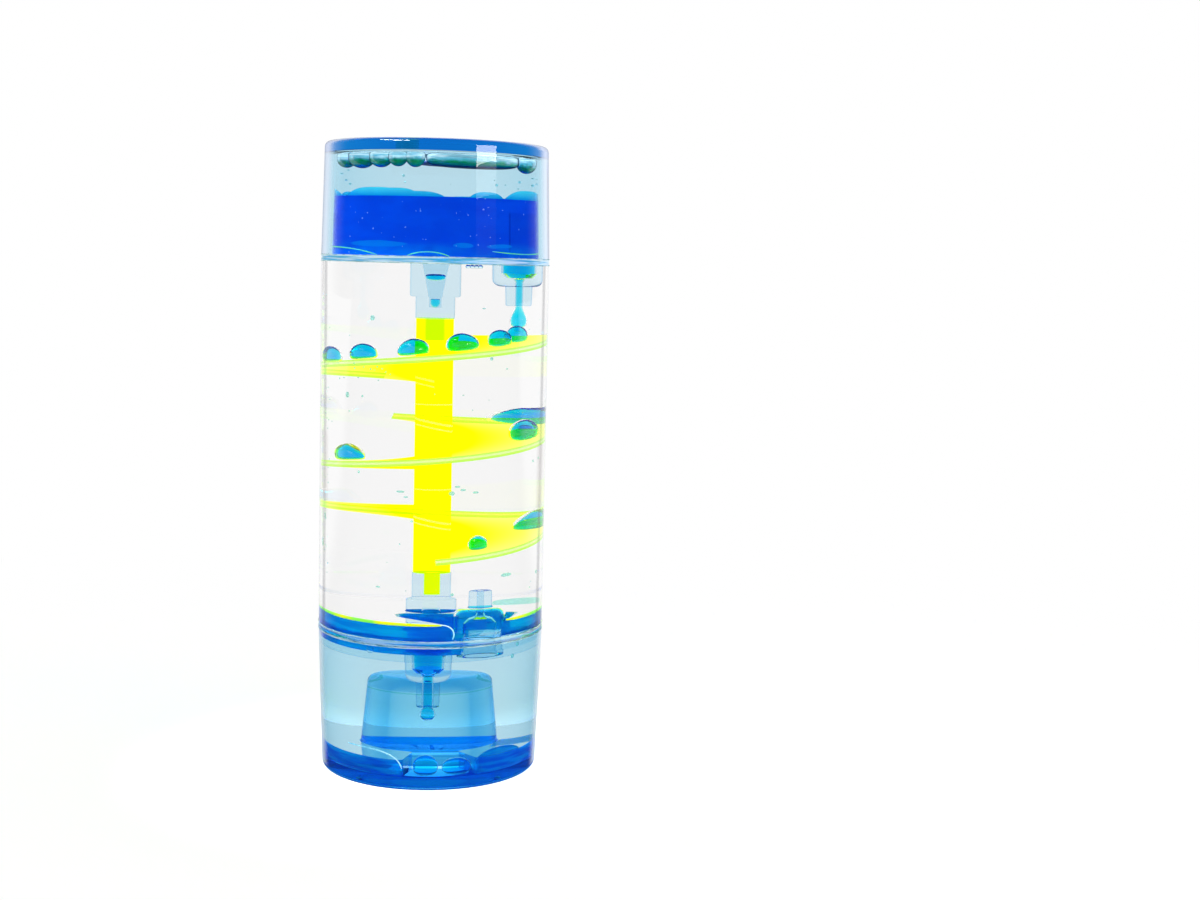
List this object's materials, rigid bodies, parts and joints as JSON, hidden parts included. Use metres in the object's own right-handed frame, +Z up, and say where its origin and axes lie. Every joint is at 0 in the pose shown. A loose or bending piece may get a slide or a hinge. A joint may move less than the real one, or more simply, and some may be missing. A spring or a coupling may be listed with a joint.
{
  "type": "liquid motion timer",
  "caption": "Sealed upright drip timer: clear oil-filled tube between tinted cups, nozzles in partitions drip blue liquid onto a stacked yellow spiral ramp.",
  "frame": {"origin": "centre of the resting face under the lower cup, on the tube's axis", "axes": "+Z up along the tube's axis, -Y towards the side that shows the drain nozzle, +X towards the drip nozzle"},
  "size_m": [0.05, 0.05, 0.1382],
  "materials": {
    "tinted_cup": "polished light-blue tinted transparent plastic",
    "clear_tube": "polished clear plastic",
    "tinted_partition": "light-blue tinted transparent plastic",
    "tinted_nozzle": "light-blue tinted transparent plastic",
    "yellow_spiral": "fluorescent yellow translucent plastic with bright edges",
    "plug": "pressed and sealed plug",
    "blue_liquid": "deep blue dyed water",
    "blue_drop": "thin blue dyed water, cyan where the light comes through"
  },
  "bodies": {
    "case": {"upper_cup": "tinted_cup", "fill_plug": "plug", "main_tube": "clear_tube", "lower_cup": "tinted_cup", "upper_partition": "tinted_partition", "lower_partition": "tinted_partition", "upper_drip_nozzle": "tinted_nozzle", "upper_vent_nozzle": "tinted_nozzle", "lower_vent_nozzle": "tinted_nozzle", "lower_drain_nozzle": "tinted_nozzle", "spiral_upper": "yellow_spiral", "spiral_middle": "yellow_spiral", "spiral_lower": "yellow_spiral", "upper_pool": "blue_liquid", "middle_pool": "blue_liquid", "lower_pool": "blue_liquid", "drip_charge": "blue_drop", "drain_charge": "blue_drop", "floor_drop_left": "blue_drop", "floor_drop_right": "blue_drop", "holder_bead": "blue_drop"},
    "pendant": {"pendant_drop": "blue_drop"},
    "drain": {"drain_drop": "blue_drop"},
    "drop_1a_body": {"drop_1a": "blue_drop"},
    "drop_1b_body": {"drop_1b": "blue_drop"},
    "drop_1c_body": {"drop_1c": "blue_drop"},
    "drop_1d_body": {"drop_1d": "blue_drop"},
    "drop_1e_body": {"drop_1e": "blue_drop"},
    "drop_1f_body": {"drop_1f": "blue_drop"},
    "drop_2a_body": {"drop_2a": "blue_drop"},
    "drop_2b_body": {"drop_2b": "blue_drop"},
    "drop_2c_body": {"drop_2c": "blue_drop"},
    "drop_3a_body": {"drop_3a": "blue_drop"},
    "drop_3b_body": {"drop_3b": "blue_drop"}
  },
  "joints": [
    {"name": "pendant_fall", "type": "slide", "parent": "case", "child": "pendant", "axis": [0, 0, -1], "range_m": [0, 0.0014]},
    {"name": "drain_fall", "type": "slide", "parent": "case", "child": "drain", "axis": [0, 0, -1], "range_m": [0, 0.0105]},
    {"name": "drop_1a_run", "type": "slide", "parent": "case", "child": "drop_1a_body", "axis": [-0.0433, 0.9922, -0.1172], "range_m": [0, 0.0045]},
    {"name": "drop_1b_run", "type": "slide", "parent": "case", "child": "drop_1b_body", "axis": [-0.6244, 0.7711, -0.1244], "range_m": [0, 0.0045]},
    {"name": "drop_1c_run", "type": "slide", "parent": "case", "child": "drop_1c_body", "axis": [-0.9687, 0.2148, -0.1244], "range_m": [0, 0.0045]},
    {"name": "drop_1d_run", "type": "slide", "parent": "case", "child": "drop_1d_body", "axis": [-0.9263, -0.3556, -0.1244], "range_m": [0, 0.0045]},
    {"name": "drop_1e_run", "type": "slide", "parent": "case", "child": "drop_1e_body", "axis": [-0.6511, -0.749, -0.1228], "range_m": [0, 0.0045]},
    {"name": "drop_1f_run", "type": "slide", "parent": "case", "child": "drop_1f_body", "axis": [-0.3309, -0.9345, -0.1308], "range_m": [0, 0.0045]},
    {"name": "drop_2a_run", "type": "slide", "parent": "case", "child": "drop_2a_body", "axis": [0.8029, -0.5833, -0.1228], "range_m": [0, 0.0024]},
    {"name": "drop_2b_run", "type": "slide", "parent": "case", "child": "drop_2b_body", "axis": [-0.2064, -0.9709, -0.1214], "range_m": [0, 0.0024]},
    {"name": "drop_2c_run", "type": "slide", "parent": "case", "child": "drop_2c_body", "axis": [-0.466, 0.8764, -0.1214], "range_m": [0, 0.0024]},
    {"name": "drop_3a_run", "type": "slide", "parent": "case", "child": "drop_3a_body", "axis": [0.2403, -0.9636, -0.1171], "range_m": [0, 0.0045]},
    {"name": "drop_3b_run", "type": "slide", "parent": "case", "child": "drop_3b_body", "axis": [-0.8226, -0.5549, -0.1244], "range_m": [0, 0.0045]}
  ],
  "couplings": [
    {"joint": "drop_1b_run", "follows": "drop_1a_run", "ratio": 1},
    {"joint": "drop_1c_run", "follows": "drop_1a_run", "ratio": 1},
    {"joint": "drop_1d_run", "follows": "drop_1a_run", "ratio": 1},
    {"joint": "drop_1e_run", "follows": "drop_1a_run", "ratio": 1},
    {"joint": "drop_1f_run", "follows": "drop_1a_run", "ratio": 1},
    {"joint": "drop_2b_run", "follows": "drop_2a_run", "ratio": 1},
    {"joint": "drop_2c_run", "follows": "drop_2a_run", "ratio": 1},
    {"joint": "drop_3b_run", "follows": "drop_3a_run", "ratio": 1}
  ]
}
